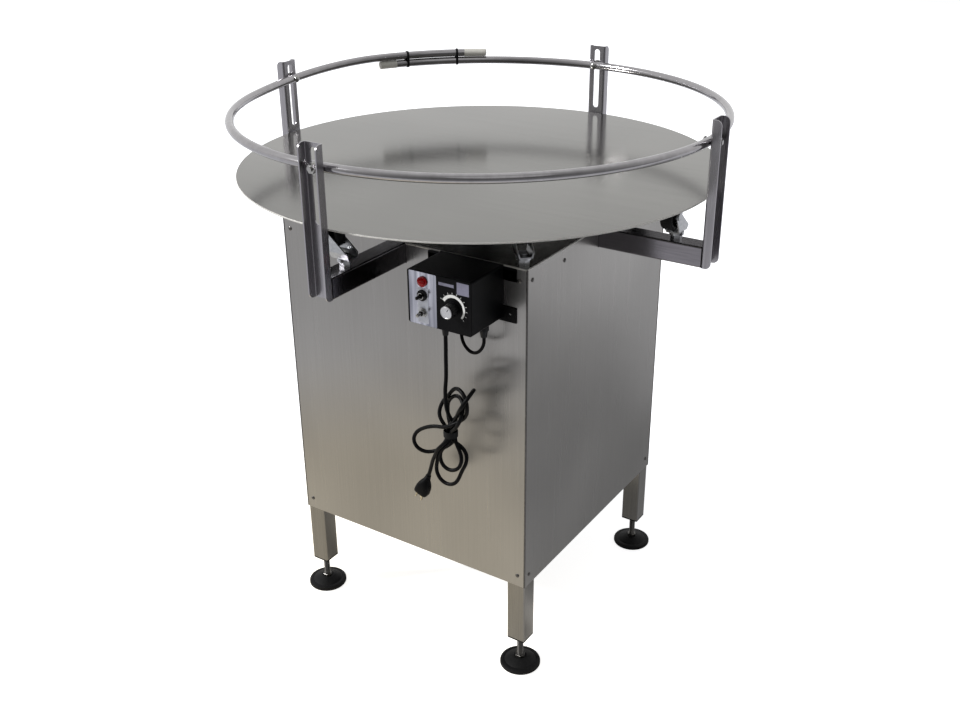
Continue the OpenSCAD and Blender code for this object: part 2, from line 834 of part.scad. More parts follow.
// Worm gearbox with a hollow output for the spindle; the worm's axis passes beside it along X
module gearbox() {
    worm_d = 84;
    color(DRIVE) difference() {
        union() {
            translate([0, 0, gear_z]) linear_extrude(gear_h) translate([0, (gear_y[0] + gear_y[1]) / 2])
                round_square(2 * gear_x - 16, gear_y[1] - gear_y[0], 14);
            translate([-gear_x, worm_y, worm_z]) rotate([0, 90, 0]) cylinder(d = worm_d, h = 2 * gear_x);
            translate([0, 0, gear_z - 3]) cylinder(d = spindle_d + 30, h = gear_h + 9);
        }
        translate([0, 0, gear_z - 4]) cylinder(d = spindle_d + 2 * bore_gap, h = gear_h + 20);
    }
}

// Motor on the gearbox's input side: flange, ribbed body and fan cowl
module motor() {
    rib_count = 20;
    rib_t = 3;
    cowl_l = 34;
    color(DRIVE) translate([gear_x, worm_y, worm_z]) rotate([0, 90, 0]) {
        cylinder(d = motor_flange_d, h = motor_flange_t);
        cylinder(d = motor_d - 12, h = motor_flange_t + motor_l);
        for (n = [1 : rib_count]) rotate([0, 0, 360 * n / rib_count])
            translate([0, -rib_t / 2, motor_flange_t])
                cube([motor_d / 2 - 3, rib_t, motor_l - cowl_l]);
        translate([0, 0, motor_flange_t + motor_l - cowl_l]) cylinder(d = motor_d, h = cowl_l);
    }
}

// Control box

// Shell of the box, open at its front
module control_housing() {
    color(BLACK) translate([box_x, box_back, box_z + box_h / 2]) rotate([90, 0, 0]) difference() {
        linear_extrude(box_d) round_square(box_w, box_h, box_r);
        translate([0, 0, box_t]) linear_extrude(box_d)
            round_square(box_w - 2 * box_t, box_h - 2 * box_t, box_r - box_t);
        translate([cord_exit[0] - box_x, 0, box_back - cord_exit[1]]) rotate([90, 0, 0])
            cylinder(d = cord_d + 1, h = box_h);
        translate([cable_exit[0] - box_x, 0, box_back - cable_exit[1]]) rotate([90, 0, 0])
            cylinder(d = cable_d + 1, h = box_h);
    }
}

// Sheet behind the box, with two ears on each side
module control_bracket() {
    hole_d = 5;
    color(BLACK) translate([0, -cab_w / 2, 0]) difference() {
        union() {
            translate([box_x - box_w / 2, -bracket_t, box_z]) cube([box_w, bracket_t, box_h]);
            for (z = [ear_up, ear_low])
                translate([box_x - box_w / 2 - ear_w, -bracket_t, z[0]])
                    cube([box_w + 2 * ear_w, bracket_t, z[1] - z[0]]);
        }
        for (z = [ear_up, ear_low], x = [-1, 1])
            translate([box_x + x * (box_w + ear_w) / 2, -bracket_t - 1, (z[0] + z[1]) / 2])
                along_y(hole_d, bracket_t + 2);
    }
}

module front_plate(x, w) {
    translate([x, box_front, box_z + box_h / 2]) rotate([90, 0, 0])
        linear_extrude(plate_t) round_square(w, box_h - 2, 2);
}

module switch_plate() {
    color(BRIGHT) difference() {
        front_plate(switch_x, switch_w);
        for (z = toggle_z) translate([switch_x, plate_front - 1, z])
            along_y(toggle_bush_d + 2 * bore_gap, plate_t + 2);
        translate([switch_x, plate_front - 1, lamp_z]) along_y(lamp_d - 2, plate_t + 2);
    }
}

module dial_plate() {
    color(BLACK) difference() {
        front_plate(dial_x, dial_w);
        translate([knob_x, plate_front - 1, knob_z]) along_y(knob_shaft_d + 2 * bore_gap, plate_t + 2);
    }
}

// Bezel and domed lens
module pilot_lamp() {
    color("#b3201f") translate([switch_x, plate_front, lamp_z]) rotate([90, 0, 0]) {
        cylinder(d = lamp_bezel_d, h = lamp_bezel_h);
        translate([0, 0, lamp_bezel_h]) intersection() {
            cylinder(d = lamp_bezel_d, h = lamp_d);
            sphere(d = lamp_d);
        }
        translate([0, 0, -plate_t - 8]) cylinder(d = lamp_d - 2.2, h = plate_t + 8.5);
    }
}

// Threaded collars of the two toggles, each with its hexagon nut on the plate
module toggle_bushings() {
    color(ZINC) for (z = toggle_z) translate([switch_x, plate_front, z]) rotate([90, 0, 0])
        difference() {
            union() {
                linear_extrude(toggle_nut_t) hexagon(toggle_nut_af);
                translate([0, 0, -plate_t - 6]) cylinder(d = toggle_bush_d, h = toggle_bush_l + plate_t + 6);
            }
            translate([0, 0, -plate_t - 4]) cylinder(d = toggle_bore_d, h = pivot_l + plate_t + 5);
            translate([0, 0, pivot_l])
                cylinder(d1 = toggle_bore_d, d2 = toggle_mouth_d, h = toggle_bush_l - pivot_l + 0.01);
        }
}

// A bat lever that tips on a ball and a cross pin inside its collar
module toggle(z) {
    translate([switch_x, pivot_y, z]) rotate([90, 0, 0]) {
        sphere(d = toggle_ball_d);
        rotate([0, 90, 0]) cylinder(d = toggle_pin_d, h = toggle_pin_l, center = true);
        cylinder(d1 = toggle_d, d2 = toggle_tip_d, h = toggle_l);
        translate([0, 0, toggle_l]) sphere(d = toggle_tip_d);
    }
}

module power_toggle() {
    color(BLACK) toggle(toggle_z[0]);
}

module direction_toggle() {
    color(ZINC) toggle(toggle_z[1]);
}

// Knob with a fluted grip, a flat cap and its shaft
module speed_knob() {
    flutes = 16;
    flute_d = 2.4;
    cap_t = 1.2;
    color(BLACK) translate([knob_x, plate_front, knob_z]) rotate([90, 0, 0]) {
        translate([0, 0, run_gap]) difference() {
            cylinder(d = knob_d, h = knob_l - cap_t);
            for (n = [1 : flutes]) rotate([0, 0, 360 * n / flutes])
                translate([knob_d / 2 + flute_d * 0.2, 0, 3]) cylinder(d = flute_d, h = knob_l);
        }
        translate([0, 0, run_gap]) cylinder(d = knob_d - 3, h = knob_l);
        translate([0, 0, -plate_t - 10]) cylinder(d = knob_shaft_d, h = plate_t + 11);
    }
}

// Tapered relief of the power cord, gland of the motor cable and grommet in the panel
module cable_glands() {
    color(RUBBER) {
        translate([cord_exit[0], cord_exit[1], box_z - relief_l])
            cylinder(d1 = cord_d + 3, d2 = relief_d, h = relief_l);
        translate([cable_exit[0], cable_exit[1], box_z - gland_l]) {
            cylinder(d1 = cable_d + 5, d2 = gland_d - 3, h = gland_l / 2);
            translate([0, 0, gland_l / 2]) cylinder(d = gland_d, h = gland_l / 2);
        }
        translate([grommet[0], -cab_w / 2 - grommet_t, grommet[1]]) difference() {
            union() {
                along_y(grommet_d, grommet_t);
                along_y(grommet_hole_d - 2 * bore_gap, grommet_t + panel_t);
            }
            translate([0, -1, 0]) along_y(cable_d + 1, grommet_t + panel_t + 2);
        }
    }
}

// Cords

module motor_cable() {
    color(BLACK) bar_along(smooth(cable_route), cable_d, cord_sides, [0.7, 0.2, 0.1]);
}

module power_cord() {
    color(BLACK) bar_along(smooth(drop_route), cord_d, cord_sides, [0, 1, 0]);
}

// Outer shape of the tied hank: two lobes with round ends
module cord_hank() {
    color(BLACK) translate(hank_c) rotate([90, 0, 0])
        linear_extrude(hank_t, center = true) stadium(hank_w, hank_h);
}

module cord_side_loop() {
    color(BLACK) bar_along(smooth(loop_route), cord_d, cord_sides, [0, 1, 0]);
}

module cord_tail() {
    color(BLACK) bar_along(smooth(tail_route), cord_d, cord_sides, [0, 1, 0]);
}

// Moulded plug with a tapered neck, two blades and a round earth pin
module power_plug() {
    blade = [6.3, 1.5, 15];
    blade_x = 6.35;
    earth_d = 4.8;
    earth_l = 18;
    earth_y = 6;
    end = tail_route[len(tail_route) - 1];
    color(BLACK) translate(end) rotate([0, plug_tilt, 0]) mirror([0, 0, 1]) {
        cylinder(d1 = cord_d + 2, d2 = cord_d + 6, h = plug_neck_l);
        translate([0, 0, plug_neck_l]) {
            linear_extrude(plug_body[2]) round_square(plug_body[0], plug_body[1], 7);
            translate([0, 0, plug_body[2]]) {
                for (x = [-1, 1]) translate([x * blade_x - blade[1] / 2, -blade[0] / 2 - 2, -1])
                    cube([blade[1], blade[0], blade[2] + 1]);
                translate([0, earth_y, -1]) cylinder(d = earth_d, h = earth_l + 1);
            }
        }
    }
}

corner_legs();
leg_end_plugs();
frame_rails();
top_plate();
front_panel();
right_panel();
rear_panel();
left_panel();
cabinet_screws();
rail_arms();
guide_posts();
caster_stems();
gearbox();
motor();
motor_bracket();
spindle_bearing();
control_housing();
control_bracket();
switch_plate();
dial_plate();
pilot_lamp();
toggle_bushings();
cable_glands();
motor_cable();
power_cord();
cord_hank();
cord_side_loop();
cord_tail();
power_plug();
turntable_disc();
drive_hub();
spindle();
hub_studs();
guide_rail();
rail_ties();
rail_fasteners();
rail_end_plugs();
speed_knob();
power_toggle();
direction_toggle();
for (i = FEET) foot(i);
for (i = CASTERS) {
    caster_fork(i);
    caster_wheel(i);
}
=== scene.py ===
"""Rotary accumulation table: finishes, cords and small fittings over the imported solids.

Metres, +Z up, in the solids' own frame: the floor is z = 0, the disc's axis is x = y = 0 and the
control box is on the -Y face. Places are in metres; routes, profiles, reliefs and the sizes of the
rail, feet and dial are in millimetres.
"""
import bpy
import numpy as np
from mathutils import Matrix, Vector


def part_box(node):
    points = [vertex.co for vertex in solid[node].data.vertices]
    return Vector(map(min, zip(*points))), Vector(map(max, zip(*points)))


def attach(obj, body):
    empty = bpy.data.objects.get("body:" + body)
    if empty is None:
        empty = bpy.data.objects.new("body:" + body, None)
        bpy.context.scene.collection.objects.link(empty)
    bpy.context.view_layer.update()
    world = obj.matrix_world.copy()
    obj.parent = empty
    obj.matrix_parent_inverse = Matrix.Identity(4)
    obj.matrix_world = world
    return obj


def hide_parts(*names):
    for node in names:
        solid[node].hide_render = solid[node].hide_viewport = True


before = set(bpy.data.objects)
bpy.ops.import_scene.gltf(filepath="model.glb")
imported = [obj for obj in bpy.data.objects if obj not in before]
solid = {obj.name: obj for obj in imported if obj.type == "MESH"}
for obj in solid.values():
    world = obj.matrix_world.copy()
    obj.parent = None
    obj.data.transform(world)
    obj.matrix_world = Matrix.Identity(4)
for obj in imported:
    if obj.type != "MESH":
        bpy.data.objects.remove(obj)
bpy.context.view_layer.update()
scene = bpy.context.scene
scene.view_settings.view_transform = "Standard"
MM = 0.001
UP = np.array([0, 0, 1.0])
# Any direction that no cord or bar starts along
ASKEW = [0.31, 0.94, 0.13]
# Samples for each point of a spline while its length is measured
SPLINE_SAMPLES = 40


# Shapes

def unit(v):
    return v / np.linalg.norm(v, axis=-1, keepdims=True)


def piece(name, parts, body, finish, crease=32):
    """One closed piece from parts, each a pair (rings, wrap). Neighbouring rings are joined by quads.
    Where wrap is true the last ring joins the first, and otherwise a fan closes each end. A part
    whose signed volume comes out negative is turned the right way round."""
    points, faces = [], []
    for rings, wrap in parts:
        rings = np.asarray(rings, float)
        m, n = rings.shape[:2]
        i, j = np.arange(m if wrap else m - 1)[:, None], np.arange(n)[None]
        k, i2 = (j + 1) % n, (i + 1) % m
        quads = np.stack([i * n + j, i * n + k, i2 * n + k, i2 * n + j], -1).reshape(-1, 4)
        tris = np.concatenate([quads[:, [0, 1, 2]], quads[:, [0, 2, 3]]])
        p, fans = rings.reshape(-1, 3), np.zeros((0, 3), int)
        if not wrap:
            a, b = np.arange(n), (np.arange(n) + 1) % n
            fans = np.concatenate([np.stack([a * 0 + m * n, b, a], -1),
                                   np.stack([a * 0 + m * n + 1, (m - 1) * n + a, (m - 1) * n + b], -1)])
            p = np.concatenate([p, rings[:1].mean(1), rings[-1:].mean(1)])
        t = p[np.concatenate([tris, fans])] - p.mean(0)
        if np.einsum("ij,ij->", t[:, 0], np.cross(t[:, 1], t[:, 2])) < 0:
            quads, fans = quads[:, ::-1], fans[:, ::-1]
        base = sum(map(len, points))
        points.append(p)
        faces += (quads + base).tolist() + (fans + base).tolist()
    mesh = bpy.data.meshes.new(name)
    mesh.from_pydata(np.concatenate(points).tolist(), [], faces)
    mesh.shade_smooth()
    mesh.set_sharp_from_angle(angle=np.radians(crease))
    mesh.materials.append(finish)
    obj = bpy.data.objects.new(name, mesh)
    scene.collection.objects.link(obj)
    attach(obj, body)
    return obj


def flowing(points, step):
    """The natural cubic spline through points in millimetres, cut into even steps in metres."""
    p = np.array(points, float) * MM
    h = np.linalg.norm(np.diff(p, axis=0), axis=1)
    n, inner = len(p), np.arange(1, len(p) - 1)
    a, b = np.eye(n), np.zeros((n, 3))
    a[inner, inner - 1], a[inner, inner], a[inner, inner + 1] = h[:-1], 2 * (h[:-1] + h[1:]), h[1:]
    b[inner] = 6 * ((p[2:] - p[1:-1]) / h[1:, None] - (p[1:-1] - p[:-2]) / h[:-1, None])
    bend = np.linalg.solve(a, b)
    s = np.concatenate([[0], np.cumsum(h)])
    x = np.linspace(0, s[-1], SPLINE_SAMPLES * n)
    i = np.clip(np.searchsorted(s, x, side="right") - 1, 0, n - 2)
    u, v, w = (s[i + 1] - x)[:, None], (x - s[i])[:, None], h[i][:, None]
    q = ((bend[i] * u ** 3 + bend[i + 1] * v ** 3) / (6 * w)
         + (p[i] / w - bend[i] * w / 6) * u + (p[i + 1] / w - bend[i + 1] * w / 6) * v)
    d = np.concatenate([[0], np.cumsum(np.linalg.norm(np.diff(q, axis=0), axis=1))])
    even = np.linspace(0, d[-1], int(round(d[-1] / step)) + 1)
    return np.stack([np.interp(even, d, q[:, c]) for c in range(3)], 1), d[-1]


def tube(path, radius, sides):
    """A circle carried along a path. Its frame is turned only as far as the path's tangent turns."""
    t = unit(np.gradient(path, axis=0))
    across = np.empty_like(t)
    across[0] = unit(np.cross(t[0], ASKEW))
    for k in range(1, len(t)):
        across[k] = unit(across[k - 1] - t[k] * (across[k - 1] @ t[k]))
    other = np.cross(t, across)
    a = np.linspace(0, 2 * np.pi, sides, endpoint=False)[None, :, None]
    r = np.broadcast_to(radius, len(path))[:, None, None]
    return path[:, None] + r * (np.cos(a) * across[:, None] + np.sin(a) * other[:, None]), False


def turned(origin, axis, profile, sides=48, ring=False):
    """A profile of (radius, height) in millimetres turned about an axis. A ring is a closed profile
    with a hole; any other profile is closed by its end faces."""
    axis = unit(np.array(axis, float))
    x = unit(np.cross(axis, [0.2, 0.3, 0.93] if abs(axis[2]) < 0.9 else [1, 0, 0]))
    y = np.cross(axis, x)
    a = np.linspace(0, 2 * np.pi, sides, endpoint=False)
    circle = np.cos(a)[:, None] * x + np.sin(a)[:, None] * y
    r, h = np.array(profile, float).T * MM
    grid = np.array(origin) + r[:, None, None] * circle + h[:, None, None] * axis
    return (grid.transpose(1, 0, 2), True) if ring else (grid, False)


def prism(origin, x, y, axis, outline, profile):
    """An outline of points in millimetres carried along an axis; each (scale, height) of the profile
    sets its size there."""
    flat = outline[:, :1] * np.array(x) + outline[:, 1:] * np.array(y)
    rings = [np.array(origin) + MM * (s * flat + h * np.array(axis)) for s, h in profile]
    return np.array(rings), False


def squircle(half_x, half_y, power, n=48):
    """A superellipse: |x/a|^p + |y/b|^p = 1."""
    a = np.linspace(0, 2 * np.pi, n, endpoint=False)
    c, s = np.cos(a), np.sin(a)
    return np.stack([half_x * np.sign(c) * abs(c) ** (2 / power),
                     half_y * np.sign(s) * abs(s) ** (2 / power)], 1)


def band(loop, out, width_axis, width, thick):
    """A flat strap round a closed loop: its section is a rounded rectangle, width along one axis and
    thickness along the loop's outward direction."""
    q = squircle(thick / 2, width / 2, 5, 16)
    return loop[:, None] + q[None, :, :1] * out[:, None] + q[None, :, 1:] * width_axis, True


# Finishes

def linear(code):
    """An sRGB hex colour as linear red, green, blue and alpha."""
    v = np.array([int(code[i:i + 2], 16) for i in (1, 3, 5)]) / 255
    return (*np.where(v <= 0.04045, v / 12.92, ((v + 0.055) / 1.055) ** 2.4), 1)


def add(tree, kind, settings=None, inputs=None):
    """A node with its settings, its fixed values and its links."""
    n = tree.nodes.new("ShaderNode" + kind)
    for key, value in (settings or {}).items():
        setattr(n, key, value)
    for key, value in (inputs or {}).items():
        if isinstance(value, bpy.types.NodeSocket):
            tree.links.new(value, n.inputs[key])
        else:
            n.inputs[key].default_value = value
    return n


def finish(name, tones, cell, rough, metallic=0, relief=0.02, detail=4, wave=None, across=None,
           **fixed):
    """Two close tones and a range of roughness, mixed by a noise whose cell is given in millimetres
    along x, y and z; relief is the height of the same noise, in millimetres. A wave is a second,
    large and shallow relief (cell, height), such as a sheet that isn't quite flat. Across names the
    axis about which the gloss of a brushed sheet is drawn out, at right angles to its lines."""
    mat = bpy.data.materials.new(name)
    mat.use_nodes = True
    tree = mat.node_tree
    shader = tree.nodes["Principled BSDF"]
    where = add(tree, "TexCoord").outputs["Object"]
    grain = add(tree, "Mapping", None, {"Vector": where, "Scale": [1 / (c * MM) for c in cell]})
    noise = add(tree, "TexNoise", None, {"Vector": grain.outputs[0], "Scale": 1, "Detail": detail,
                                         "Roughness": 0.62}).outputs[0]
    share = add(tree, "MapRange", None, {"Value": noise, "From Min": 0.3, "From Max": 0.7})
    tone = add(tree, "Mix", {"data_type": "RGBA"},
               {0: share.outputs[0], 6: linear(tones[0]), 7: linear(tones[1])})
    gloss = add(tree, "MapRange", None, {"Value": noise, "From Min": 0.25, "From Max": 0.75,
                                         "To Min": rough[0], "To Max": rough[1]})
    bump = add(tree, "Bump", None, {"Height": noise, "Strength": 1, "Distance": relief * MM})
    if wave:
        swell = add(tree, "TexNoise", None,
                    {"Vector": where, "Scale": 1 / (wave[0] * MM), "Detail": 1})
        cloud = add(tree, "MapRange", None,
                    {"Value": swell.outputs[0], "From Min": 0.3, "From Max": 0.7,
                     "To Min": 0.9, "To Max": 1.1})
        tone = add(tree, "Mix", {"data_type": "RGBA", "blend_type": "MULTIPLY"},
                   {0: 1, 6: tone.outputs[2], 7: cloud.outputs[0]})
        bump = add(tree, "Bump", None, {"Height": swell.outputs[0], "Strength": 1,
                                        "Distance": wave[1] * MM, "Normal": bump.outputs[0]})
    if across:
        drawn = add(tree, "Tangent", {"direction_type": "RADIAL", "axis": across})
        tree.links.new(drawn.outputs[0], shader.inputs["Tangent"])
    for key, value in {"Metallic": metallic, **fixed}.items():
        shader.inputs[key].default_value = value
    tree.links.new(tone.outputs[2], shader.inputs["Base Color"])
    tree.links.new(gloss.outputs[0], shader.inputs["Roughness"])
    tree.links.new(bump.outputs[0], shader.inputs["Normal"])
    return mat


# Camera: the photograph's viewing angle

AZIMUTH, ROLL = np.radians(33.4), np.radians(-0.55)
EYE, FACING = (1.1547, -1.7577, 1.5157), (0.4959, -0.7520, 0.4343)
back = unit(np.array(FACING))
level = np.array([np.cos(AZIMUTH), np.sin(AZIMUTH), 0])
rise = np.cross(back, level)
view = np.eye(4)
view[:3, 0] = level * np.cos(ROLL) + rise * np.sin(ROLL)
view[:3, 1] = rise * np.cos(ROLL) - level * np.sin(ROLL)
view[:3, 2] = back
view[:3, 3] = EYE
lens = bpy.data.cameras.new("camera")
lens.lens, lens.sensor_width, lens.sensor_fit = 42.31, 36, "HORIZONTAL"
camera = bpy.data.objects.new("camera", lens)
camera.matrix_world = Matrix(view.tolist())
scene.collection.objects.link(camera)
scene.camera = camera


# Finishes of this table

SPECULAR = "Specular IOR Level"
# Brushed stainless sheet, folded into panels: faint long vertical streaks and a broad soft gloss.
# The real lines are finer than a pixel, so they are drawn 3 mm wide.
sheet = finish("brushed_stainless_sheet", ("#959390", "#918f8c"), (3, 3, 260), (0.27, 0.29), 1,
               0.00018, wave=(300, 0.2), across="Z", Anisotropic=0.75)
# Brushed stainless disc: a worn, slightly cloudy deck that mirrors the posts softly.
deck = finish("brushed_stainless_deck", ("#797874", "#757470"), (240, 4, 4), (0.13, 0.18), 1, 0.0008,
              wave=(320, 0.1))
# Polished stainless tube of the legs: mill lines along the length and dark and bright bands.
tubing = finish("polished_stainless_tube", ("#82807c", "#787672"), (2.5, 2.5, 180),
                (0.13, 0.2), 1, 0.001)
# Stainless channel of the posts: the same lines, paler and with a satin gloss.
channel = finish("bright_stainless_channel", ("#a2a0a3", "#969498"), (2.5, 2.5, 180),
                 (0.24, 0.32), 1, 0.001)
# Polished tube of the arms and the frame inside: its lines run level.
arms = finish("polished_stainless_arm", ("#827f83", "#787579"), (60, 60, 3), (0.14, 0.22), 1, 0.001)
# Polished stainless face plate of the switches: its colour carries soft upright light and dark bands, a
# painted reflection.
plate = finish("face_plate_painted_reflection", ("#d4d5de", "#6c6d77"), (10, 10, 220),
               (0.16, 0.24), 1, 0.002, 1)
# Ground sheet edge, scratched across: its pale tone is partly the matte of a ground edge and partly a
# painted highlight along the edge.
edge = finish("ground_edge_painted_highlight", ("#d6d4cf", "#c2c0bb"), (3, 3, 3), (0.45, 0.6), 0.3, 0.01)
# Bright drawn stainless bar: nearly a mirror, very slightly uneven.
bar = finish("bright_drawn_bar", ("#a2a0a2", "#979597"), (14, 14, 14), (0.1, 0.16), 1, 0.0006, 2)
# Zinc-plated pressed steel: a pale grey with a fine crystal bloom.
zinc = finish("zinc_plated_steel", ("#b4b5b6", "#9d9fa2"), (5, 5, 5), (0.24, 0.36), 1, 0.01)
# Oiled plain steel of the foot stems, panel screws and corner folds, darker than the plated parts;
# the dark tone is partly painted shade on the stems and a painted dark reflection on the folds.
oiled_steel_painted_dark = finish("plain_steel_painted_shade", ("#62605e", "#504f4d"), (3, 3, 3), (0.26, 0.4), 1, 0.01)
# Machined bright steel of the rail's bolts and the switches' collars.
bright = finish("machined_bright_steel", ("#a3a2a0", "#949391"), (3, 3, 3), (0.16, 0.26), 1, 0.004)
# Moulded black rubber: dull, with dust in the grain.
rubber = finish("moulded_black_rubber", ("#0c0c0d", "#141414"), (4, 4, 4), (0.5, 0.66), 0, 0.05,
                **{SPECULAR: 0.14})
# Black powder coat: near black, with an orange peel whose cells are about 2 mm wide.
powder = finish("black_powder_coat", ("#050506", "#09090b"), (2.2, 2.2, 2.2), (0.34, 0.46), 0, 0.03,
                **{SPECULAR: 0.08})
# Moulded black ABS: a soft sheen over a fine spark-eroded grain.
abs_black = finish("moulded_black_abs", ("#08080a", "#0d0d0f"), (1.6, 1.6, 1.6), (0.3, 0.42),
                   0, 0.02, **{SPECULAR: 0.2})
# Extruded PVC jacket: black, a little waxy, with scuffs along it.
jacket = finish("extruded_pvc_jacket", ("#050505", "#0a0a0b"), (6, 6, 18), (0.34, 0.48), 0, 0.03,
                **{SPECULAR: 0.07})
# Moulded acrylic lens: clear saturated red under a hard gloss.
lens_red = finish("moulded_red_acrylic", ("#b80d12", "#980a0e"), (6, 6, 6), (0.1, 0.18), 0, 0.01,
                  **{SPECULAR: 0.3})
# Grey-blue machine enamel on the castings of the drive.
enamel = finish("machine_enamel", ("#4f5a63", "#464f57"), (12, 12, 12), (0.3, 0.42), 0, 0.12)
# Pale polyethylene of the rail's end caps and sleeves: slightly waxy.
pale = finish("pale_polyethylene", ("#dad8d1", "#cfcdc5"), (6, 6, 6), (0.4, 0.52), 0, 0.02)
# White screen print on the dial, dusty at its edges.
ink = finish("white_screen_print", ("#e6e6e4", "#d6d6d3"), (3, 3, 3), (0.5, 0.6), 0, 0.01)
# Grey screen print: plain bars where a name would be.
grey_ink = finish("grey_screen_print", ("#7c7b8c", "#737282"), (3, 3, 3), (0.5, 0.6), 0, 0.01)
# White engraving laminate of the switches' legend plate, left blank.
legend_white = finish("white_engraving_laminate", ("#e4e7f0", "#d8dce8"), (8, 8, 8),
                      (0.3, 0.4), 0, 0.01)
# Spun aluminium knob cap: bright, with fine tool marks.
spun = finish("spun_aluminium", ("#c9c9ca", "#b4b4b6"), (1.5, 20, 1.5), (0.22, 0.34), 1, 0.01)
# Nickel-plated brass of the plug's blades.
nickel = finish("nickel_plated_brass", ("#c8bfa8", "#b5ab92"), (4, 4, 4), (0.2, 0.3), 1, 0.006)

# What each solid wears; those that a piece below replaces are left out.
CASTERS = range(1, 9)
WEAR = {
    sheet: "front_panel right_panel rear_panel left_panel",
    deck: "turntable_disc top_plate",
    plate: "switch_plate",
    tubing: "corner_legs",
    channel: "guide_posts",
    arms: "rail_arms frame_rails motor_bracket",
    bar: "spindle",
    zinc: "caster_stems drive_hub spindle_bearing hub_studs "
          + " ".join(f"caster_fork_{i}" for i in CASTERS),
    oiled_steel_painted_dark: "cabinet_screws",
    bright: "rail_fasteners toggle_bushings direction_toggle",
    rubber: "leg_end_plugs " + " ".join(f"caster_wheel_{i}" for i in CASTERS),
    powder: "control_housing control_bracket dial_plate",
    abs_black: "speed_knob power_toggle cable_glands",
    lens_red: "pilot_lamp",
    enamel: "gearbox motor",
    pale: "rail_end_plugs",
}
for coat, names in WEAR.items():
    for name in names.split():
        solid[name].data.materials.clear()
        solid[name].data.materials.append(coat)


# Cords: the power lead, from the box down into its tied hank, and the motor's cable

LEAD_D, CABLE_D = 0.007, 0.006
LEAD = [
    (150.5, -340, 726), (150.5, -340, 708.5), (150.2, -340, 691), (150, -340, 673.5),
    (149.8, -339.9, 656), (148.7, -339.7, 638.6), (147.1, -339.9, 621.1), (146.8, -339.5, 603.6),
    (148.5, -339.7, 586.2), (154.7, -339.3, 570), (161.6, -335.7, 554.3), (162.9, -335.8, 537.1),
    (165.6, -336.9, 520), (173.9, -338, 504.7), (178.6, -340.5, 488.3), (172.8, -342.6, 472.4),
    (157.7, -344.6, 464.8), (141.9, -345.1, 470.8), (135.8, -344.4, 486.7), (141.7, -345.9, 502.8),
    (151.7, -343.4, 516.6), (156.2, -338.1, 532.4), (159.5, -341, 549.1), (167.1, -345.3, 564.1),
    (175.3, -347.4, 579.3), (183.7, -354.3, 593), (193, -360, 606.6), (200.8, -356, 621.3),
    (202.9, -341.8, 630.3), (197.2, -325.9, 627.8), (187.6, -318, 616), (178, -317.2, 601.4),
    (169.1, -315.3, 586.6), (163.1, -319.4, 570.9), (156.2, -330.5, 559.2), (151.2, -339.9, 545.6),
    (149, -341, 528.5), (141.3, -336.8, 513.4), (133.3, -336.5, 497.9), (126.4, -336.4, 481.8),
    (122, -335.8, 464.9), (121.2, -336, 447.5), (130, -336.7, 432.8), (146.3, -336.7, 427.7),
    (161.7, -335.6, 435), (169.6, -333.1, 450.2), (176.5, -333.1, 466.2), (183.4, -332.7, 482.2),
    (181.5, -330, 499.1), (169.2, -329.9, 511.1), (155.3, -332.7, 521.1), (148.2, -335, 536.7),
    (139.2, -336.9, 551.3), (128.4, -333.1, 564), (127.5, -325.7, 579.4), (136.1, -325.7, 594.2),
    (147.4, -330.1, 606.9), (158.1, -334, 620.2), (171.5, -339.5, 629.5), (187.2, -345.9, 627.6),
    (197.6, -350, 614.7), (198.7, -349.9, 597.5), (191.5, -347.2, 582), (178.8, -348.8, 570.3),
    (164.7, -353, 561.1), (149.2, -351.6, 553.3), (132.4, -349.2, 548.7), (116.1, -348.3, 542.7),
    (100.9, -347, 534.1), (87.6, -347, 522.9), (81, -347.9, 507), (86.3, -345.9, 490.9),
    (100.5, -340.2, 483.3), (116.3, -333.7, 486.2), (131.2, -329, 494.1), (144.4, -324.3, 504.5),
    (153.6, -324.9, 519), (154.9, -331, 535.2), (148.6, -330.7, 551.1), (140.2, -323.6, 564.7),
    (138.5, -320.7, 581.4), (146.5, -324.9, 596.1), (159, -329.2, 607.5), (174.5, -335.5, 611),
    (186.8, -344.1, 602.7), (188.8, -351.9, 587.5), (183.6, -355, 571.3), (173.8, -351.6, 557.4),
    (163, -345.8, 544.9), (155, -345.6, 529.6), (145.9, -351, 516), (134.8, -350.9, 502.8),
    (126.4, -346.4, 488.1), (118.6, -343, 472.9), (112.1, -339.5, 457), (104.3, -338, 433.5),
]
lead_path, lead_length = flowing(LEAD, 0.004)
lead = piece("power_lead", [tube(lead_path, LEAD_D / 2, 14)], "cabinet", jacket, 60)
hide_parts("power_cord", "cord_hank", "cord_side_loop", "cord_tail")

# The strap round the waist of the hank
WAIST, WAIST_R = np.array([0.1555, -0.3382, 0.537]), 0.0124
around = np.linspace(0, 2 * np.pi, 64, endpoint=False)
outward = np.stack([np.cos(around), np.sin(around), 0 * around], 1)
tie = piece("lead_tie", [band(WAIST + WAIST_R * outward, outward, UP, 0.012, 0.0015)],
            "cabinet", rubber)

# The moulded plug: a superellipse that grows from the round neck to a squarish body, 23 degrees off
# the vertical, with three grip ribs on the neck. A row is the distance from the neck, half the width
# and half the thickness.
TILT = np.radians(23)
PLUG = np.array([
    (0, 4.3, 4.3), (1, 5, 5), (3, 5.2, 5.2), (4, 4.6, 4.6), (6, 5.6, 5.6), (7, 5, 5), (9, 6.2, 6),
    (10, 5.8, 5.6), (13, 7, 6.8), (17, 8.8, 8.4), (21, 10.6, 9.6), (26, 12.3, 10.5), (32, 13.5, 10.9),
    (38, 14, 10.9), (43, 14, 10.9), (45, 13.5, 10.4), (46, 12.2, 9.2)])
BLADE_OUT, PIN_UP = 6.35, 6
BLADE = squircle(0.75, 3.15, 6, 16)
px, py = np.array([np.cos(TILT), 0, -np.sin(TILT)]), np.array([0, 1.0, 0])
axis = np.array([-np.sin(TILT), 0, -np.cos(TILT)])
neck = np.array(LEAD[-1]) * MM
power = np.interp(PLUG[:, 0], [0, 12, 30, 46], [2, 2.1, 3.4, 3.8])
